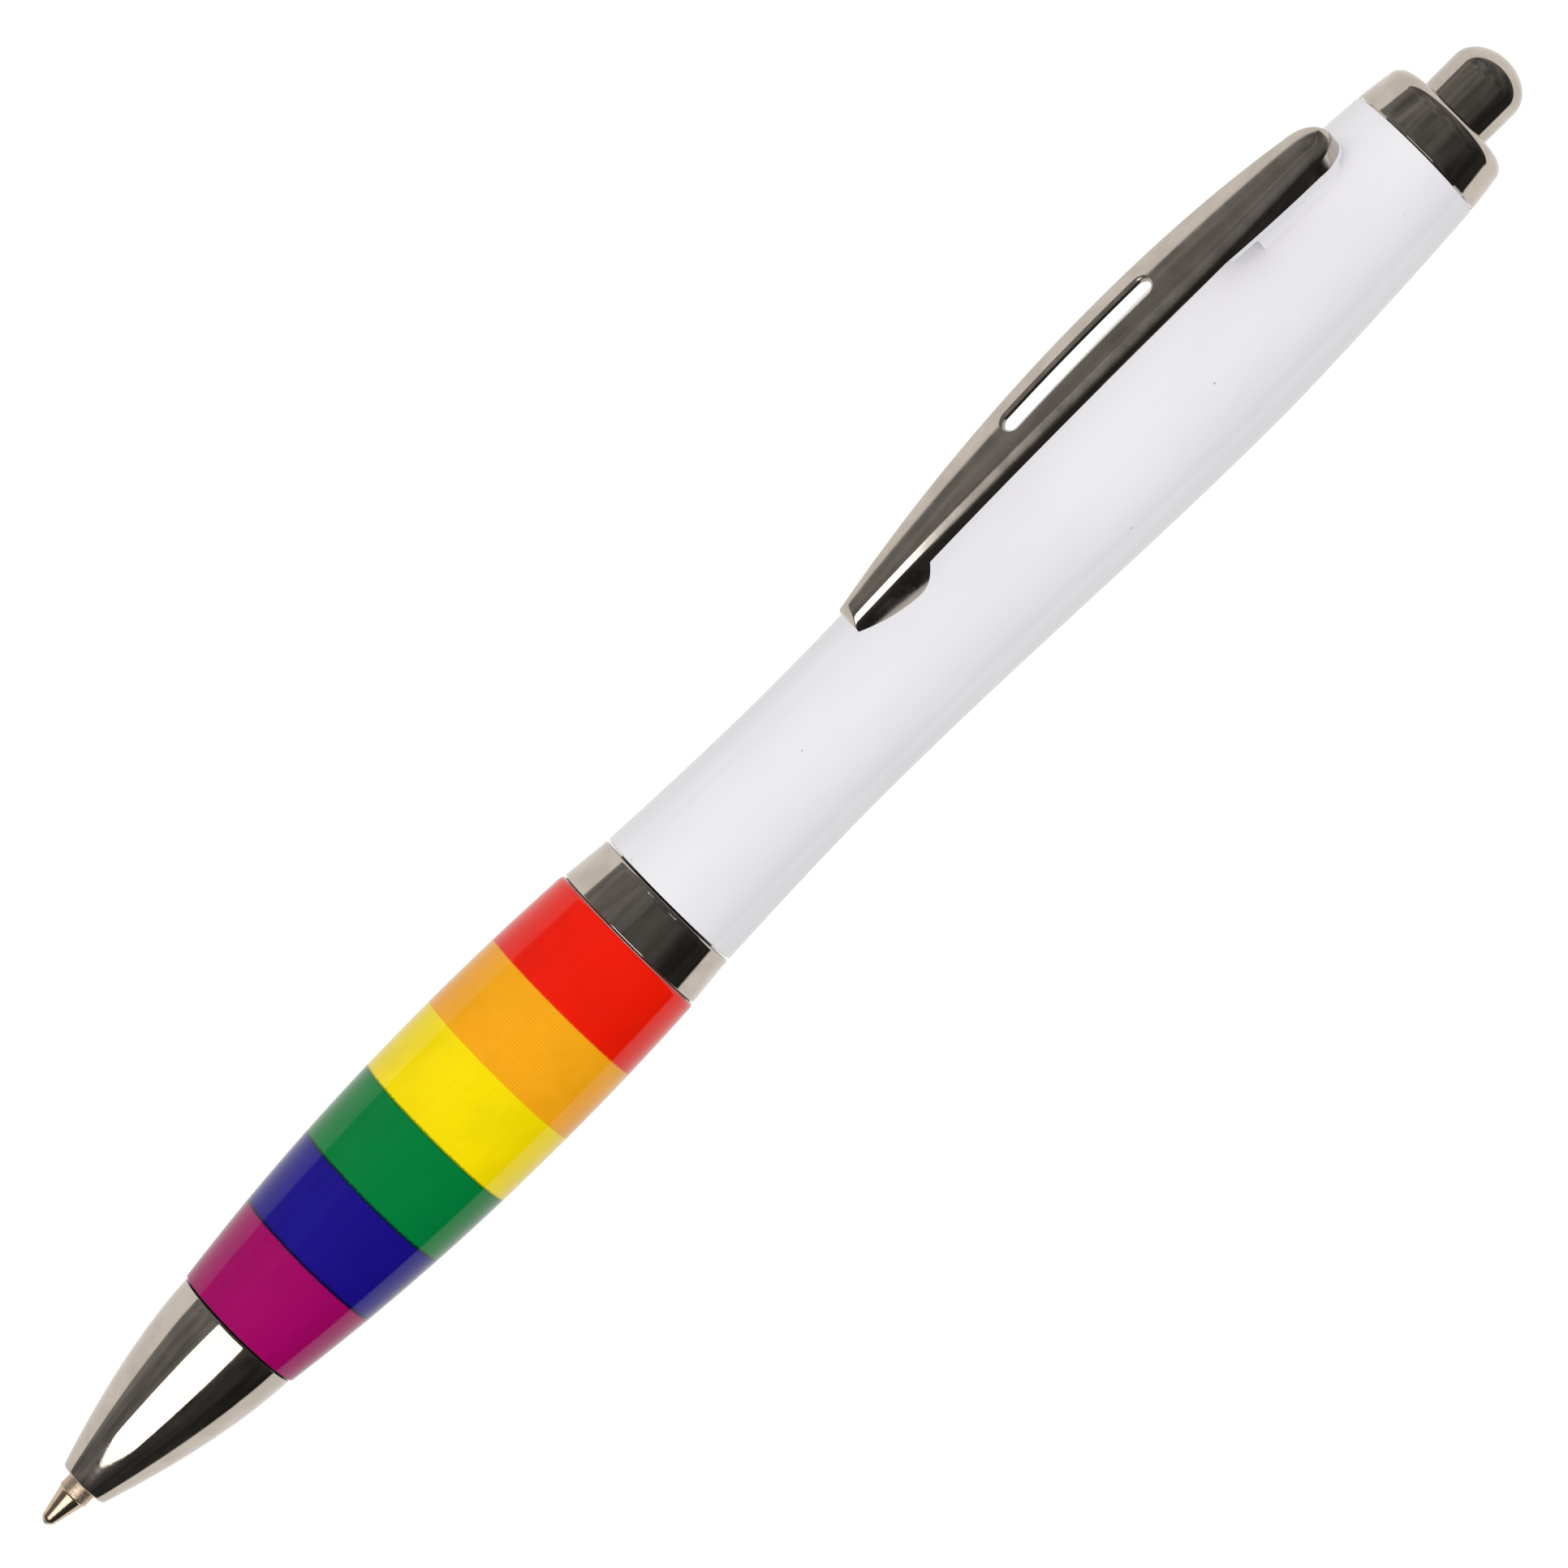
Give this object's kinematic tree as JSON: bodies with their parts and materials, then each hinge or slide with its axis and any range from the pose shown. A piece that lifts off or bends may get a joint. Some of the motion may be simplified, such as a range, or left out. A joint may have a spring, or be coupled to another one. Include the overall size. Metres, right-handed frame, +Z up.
{
  "type": "multicolor click pen",
  "caption": "Retractable ballpoint pen with a striped grip, metal nose and band, white barrel, sprung pocket clip and push button; unscrews for a refill.",
  "frame": {"origin": "on the surface the pen lies on, below the middle of its bounding box", "axes": "+X along the pen from writing point to push button, +Z up from the surface towards the clip"},
  "size_m": [0.14, 0.0132, 0.017],
  "materials": {
    "ball_metal": "polished",
    "point_metal": "turned nickel silver",
    "refill_metal": "plain drawn metal",
    "ink": "thick oil ink",
    "follower": "clear grease",
    "plug_plastic": "plain moulded",
    "spring_steel": "drawn wire",
    "dark_chrome": "polished dark nickel plating",
    "clip_chrome": "dark nickel plating, slightly orange-peeled",
    "black_plastic": "plain moulded",
    "grey_plastic": "plain moulded",
    "grip_plastic": "moulded, under the film",
    "print_purple": "printed film under clear lacquer",
    "print_blue": "printed film under clear lacquer",
    "print_green": "printed film under clear lacquer",
    "print_yellow": "printed film under clear lacquer",
    "print_orange": "printed film under clear lacquer",
    "print_red": "printed film under clear lacquer",
    "white_plastic": "glossy moulded"
  },
  "bodies": {
    "barrel": {"upper_barrel": "white_plastic", "cam_sleeve": "black_plastic", "top_cap": "dark_chrome"},
    "clip": {"clip": "clip_chrome"},
    "button": {"push_button": "dark_chrome", "plunger": "grey_plastic"},
    "refill": {"refill_tube": "refill_metal", "point_body": "point_metal", "ink_column": "ink", "grease_follower": "follower", "refill_end_plug": "plug_plastic"},
    "ball": {"writing_ball": "ball_metal"},
    "rotor": {"ratchet_rotor": "grey_plastic"},
    "band": {"centre_band": "dark_chrome"},
    "front": {"nose_cone": "dark_chrome", "core_tube": "black_plastic", "grip_sleeve": "grip_plastic", "film_purple": "print_purple", "film_blue": "print_blue", "film_green": "print_green", "film_yellow": "print_yellow", "film_orange": "print_orange", "film_red": "print_red", "return_spring": "spring_steel"}
  },
  "joints": [
    {"name": "button_click", "type": "slide", "parent": "barrel", "child": "button", "axis": [1, 0, 0], "range_m": [-0.0012, 0.0048], "stiffness_N_per_m": 200},
    {"name": "refill_slide", "type": "slide", "parent": "barrel", "child": "refill", "axis": [1, 0, 0], "range_m": [-0.0012, 0.0048], "deforming": ["return_spring"]},
    {"name": "rotor_index", "type": "hinge", "parent": "refill", "child": "rotor", "pos_m": [0.033, 0, 0.0066], "axis": [1, 0, 0], "continuous": true},
    {"name": "ball_roll", "type": "hinge", "parent": "refill", "child": "ball", "pos_m": [-0.06965, 0, 0.0066], "axis": [0, 1, 0], "continuous": true},
    {"name": "clip_flex", "type": "hinge", "parent": "barrel", "child": "clip", "pos_m": [0.0573, 0, 0.0135], "axis": [0, 1, 0], "range_deg": [0, 4], "stiffness_Nm_per_rad": 0.5},
    {"name": "thread_advance", "type": "slide", "parent": "barrel", "child": "band", "axis": [-1, 0, 0], "range_m": [0, 0.007]},
    {"name": "barrel_unscrew", "type": "hinge", "parent": "band", "child": "front", "pos_m": [-0.0102, 0, 0.0066], "axis": [-1, 0, 0], "range_deg": [0, 1800]}
  ],
  "couplings": [
    {"joint": "refill_slide", "follows": "button_click", "ratio": 1},
    {"joint": "thread_advance", "follows": "barrel_unscrew", "m_per_rad": 0.00022282}
  ]
}
